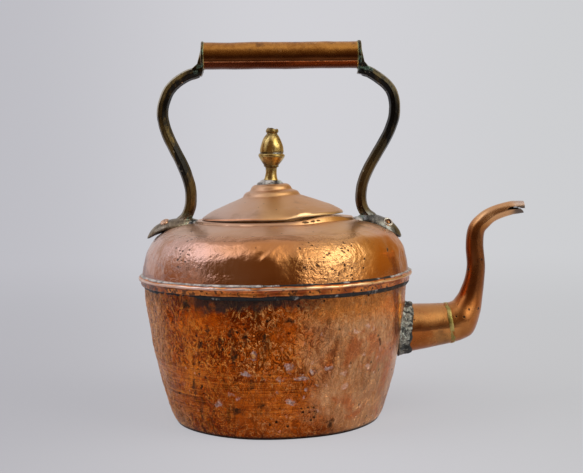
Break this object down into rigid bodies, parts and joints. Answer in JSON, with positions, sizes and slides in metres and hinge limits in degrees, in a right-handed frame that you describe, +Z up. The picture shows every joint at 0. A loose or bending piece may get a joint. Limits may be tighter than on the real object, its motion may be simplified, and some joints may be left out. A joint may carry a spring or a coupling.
{
  "type": "copper tea kettle",
  "caption": "Old hand-made copper tea kettle with a swan-neck spout, a tall fixed brass-armed handle and a lift-off domed lid with an acorn finial.",
  "frame": {"origin": "centre of the flat base, on the surface that the kettle stands on", "axes": "+Z up along the kettle's axis, +X towards the spout; the handle and spout lie in the XZ plane"},
  "size_m": [0.2848, 0.2008, 0.2764],
  "materials": {
    "wall_copper": "pitted and stained old copper, satin",
    "shoulder_copper": "hammered old copper, satin to bright",
    "lid_copper": "brownish pink old copper, satin",
    "grip_copper": "handled brown-gold copper, satin",
    "spout_copper": "brown-orange copper with small pits, satin",
    "arm_brass": "dark olive patinated cast brass, rubbed on its edges",
    "finial_brass": "worn golden cast brass, dark in its hollows",
    "braze_brass": "greenish yellow brazing brass, dull",
    "soft_solder": "dull grey soft solder with green and white stains",
    "rivet_copper": "hammered copper rivet, satin",
    "washer_metal": "pale rubbed brass washer"
  },
  "bodies": {
    "kettle": {"body_wall": "wall_copper", "base_plate": "wall_copper", "base_braze": "braze_brass", "shoulder": "shoulder_copper", "seam_band": "wall_copper", "seam_solder_upper": "soft_solder", "seam_solder_lower": "soft_solder", "spout_root": "spout_copper", "spout_neck": "spout_copper", "spout_braze": "braze_brass", "spout_solder": "soft_solder", "rear_handle_arm": "arm_brass", "front_handle_arm": "arm_brass", "grip_tube": "grip_copper", "rear_grip_braze": "braze_brass", "front_grip_braze": "braze_brass", "rear_foot_rivets": "rivet_copper", "front_foot_rivets": "rivet_copper", "front_rivet_washers": "washer_metal", "rear_rivet_burrs": "rivet_copper", "front_rivet_burrs": "rivet_copper", "rear_foot_solder": "soft_solder", "front_foot_solder": "soft_solder"},
    "lid": {"lid_dome": "lid_copper", "lid_skirt": "lid_copper", "lid_skirt_solder": "soft_solder", "finial": "finial_brass", "finial_solder": "soft_solder", "finial_washer": "braze_brass"}
  },
  "joints": [
    {"name": "lid_lift", "type": "slide", "parent": "kettle", "child": "lid", "axis": [0, 0, 1], "range_m": [0, 0.04]}
  ]
}
